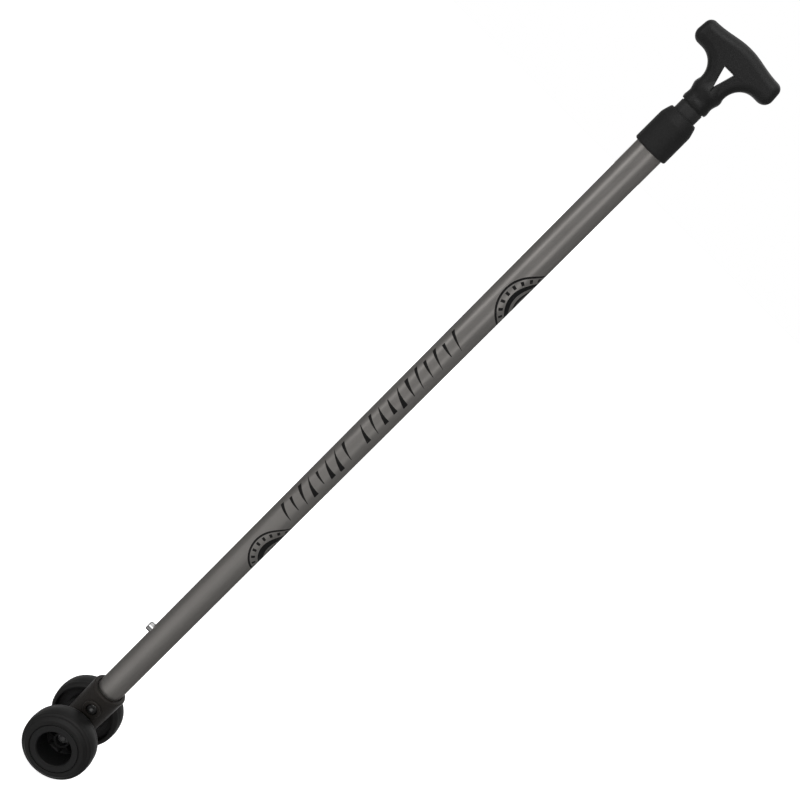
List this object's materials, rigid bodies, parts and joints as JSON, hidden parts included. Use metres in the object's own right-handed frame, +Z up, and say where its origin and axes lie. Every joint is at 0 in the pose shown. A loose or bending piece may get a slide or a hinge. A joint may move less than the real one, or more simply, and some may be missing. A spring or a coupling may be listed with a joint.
{
  "type": "wheeled push stick",
  "caption": "Telescoping stick with a T-shaped palm grip, twist-lock collar, snap button and a yoke foot that carries wheels side by side.",
  "frame": {"origin": "on the floor under the stick's axis, midway between the wheels", "axes": "+Z up along the stick, Y along the wheel axle, X along the grip's bar at rest, -X towards the snap button"},
  "size_m": [0.1068, 0.122, 1.2],
  "materials": {
    "anodised_tube": "satin gunmetal anodising",
    "black_tube": "satin black anodising",
    "yoke_plastic": "fine moulded texture",
    "grip_plastic": "fine moulded texture, soft touch",
    "collar_plastic": "soft touch",
    "tyre_rubber": "smooth",
    "rim_plastic": "moulded",
    "nylon": "moulded",
    "black_steel": "black oxide",
    "zinc_steel": "zinc plated",
    "bearing_steel": "ground",
    "spring_steel": "plain",
    "polished_steel": "polished"
  },
  "bodies": {
    "stick": {"axle_bolt": "zinc_steel", "axle_nut": "black_steel", "back_hub_spacer": "zinc_steel", "back_inner_axle_washer": "zinc_steel", "back_inner_bearing_core": "bearing_steel", "back_outer_axle_washer": "zinc_steel", "back_outer_bearing_core": "bearing_steel", "collet": "nylon", "front_hub_spacer": "zinc_steel", "front_inner_axle_washer": "zinc_steel", "front_inner_bearing_core": "bearing_steel", "front_outer_axle_washer": "zinc_steel", "front_outer_bearing_core": "bearing_steel", "liner_tube": "spring_steel", "main_tube": "anodised_tube", "snap_spring": "spring_steel", "yoke": "yoke_plastic", "yoke_bolt": "black_steel", "yoke_nut": "black_steel", "yoke_washer_back": "black_steel", "yoke_washer_front": "black_steel"},
    "front_wheel": {"front_inner_bearing_shell": "bearing_steel", "front_outer_bearing_shell": "bearing_steel", "front_rim": "rim_plastic", "front_tyre": "tyre_rubber"},
    "back_wheel": {"back_inner_bearing_shell": "bearing_steel", "back_outer_bearing_shell": "bearing_steel", "back_rim": "rim_plastic", "back_tyre": "tyre_rubber"},
    "snap_button": {"snap_button": "polished_steel"},
    "lock_collar": {"lock_collar": "collar_plastic"},
    "slider": {"guide_bush": "nylon"},
    "upper": {"upper_tube": "black_tube", "grip": "grip_plastic", "grip_pin": "black_steel"}
  },
  "joints": [
    {"name": "front_wheel_spin", "type": "hinge", "parent": "stick", "child": "front_wheel", "pos_m": [0, -0.044, 0.047], "axis": [0, 1, 0], "continuous": true},
    {"name": "back_wheel_spin", "type": "hinge", "parent": "stick", "child": "back_wheel", "pos_m": [0, 0.044, 0.047], "axis": [0, 1, 0], "continuous": true},
    {"name": "snap_button_press", "type": "slide", "parent": "stick", "child": "snap_button", "axis": [1, 0, 0], "range_m": [0, 0.006], "stiffness_N_per_m": 2500, "springref_m": -0.002, "deforming": ["snap_spring"]},
    {"name": "lock_collar_twist", "type": "hinge", "parent": "stick", "child": "lock_collar", "pos_m": [0, 0, 1.08], "axis": [0, 0, 1], "range_deg": [0, 90]},
    {"name": "upper_tube_slide", "type": "slide", "parent": "stick", "child": "slider", "axis": [0, 0, 1], "range_m": [-0.01, 0.55]},
    {"name": "grip_swivel", "type": "hinge", "parent": "slider", "child": "upper", "pos_m": [0, 0, 0.4], "axis": [0, 0, 1], "continuous": true}
  ]
}
